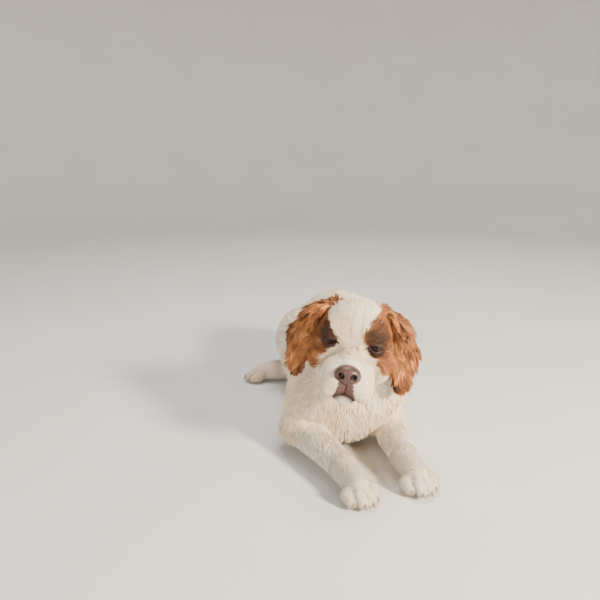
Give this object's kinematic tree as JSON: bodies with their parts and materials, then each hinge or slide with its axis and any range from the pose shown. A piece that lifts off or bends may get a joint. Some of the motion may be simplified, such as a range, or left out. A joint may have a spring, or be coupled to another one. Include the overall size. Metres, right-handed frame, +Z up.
{
  "type": "saint bernard puppy, still life-size model",
  "caption": "Life-size still model of a young Saint Bernard lying on its belly, head up, forelegs stretched forward and one hind leg out to the side.",
  "frame": {"origin": "on the floor, at the flat under the breastbone where the model rests", "axes": "+Z up; the puppy faces -Y; +X is its left side"},
  "size_m": [0.3138, 0.6575, 0.2585],
  "materials": {
    "coat": "soft white and cream coat",
    "ear_coat": "long wavy rust-orange hair",
    "nose_leather": "moist pebbled dark brown",
    "eye": "wet gloss over dark brown"
  },
  "bodies": {
    "root": {"ear_left": "ear_coat", "ear_right": "ear_coat", "eye_left": "eye", "eye_right": "eye", "forearm_left": "coat", "forearm_right": "coat", "forepaw_left": "coat", "forepaw_right": "coat", "head": "coat", "hind_foot_left": "coat", "hind_foot_right": "coat", "jaw": "coat", "neck": "coat", "nose": "nose_leather", "tail": "coat", "thigh_left": "coat", "thigh_right": "coat", "torso": "coat", "upper_arm_left": "coat", "upper_arm_right": "coat"}
  },
  "joints": []
}
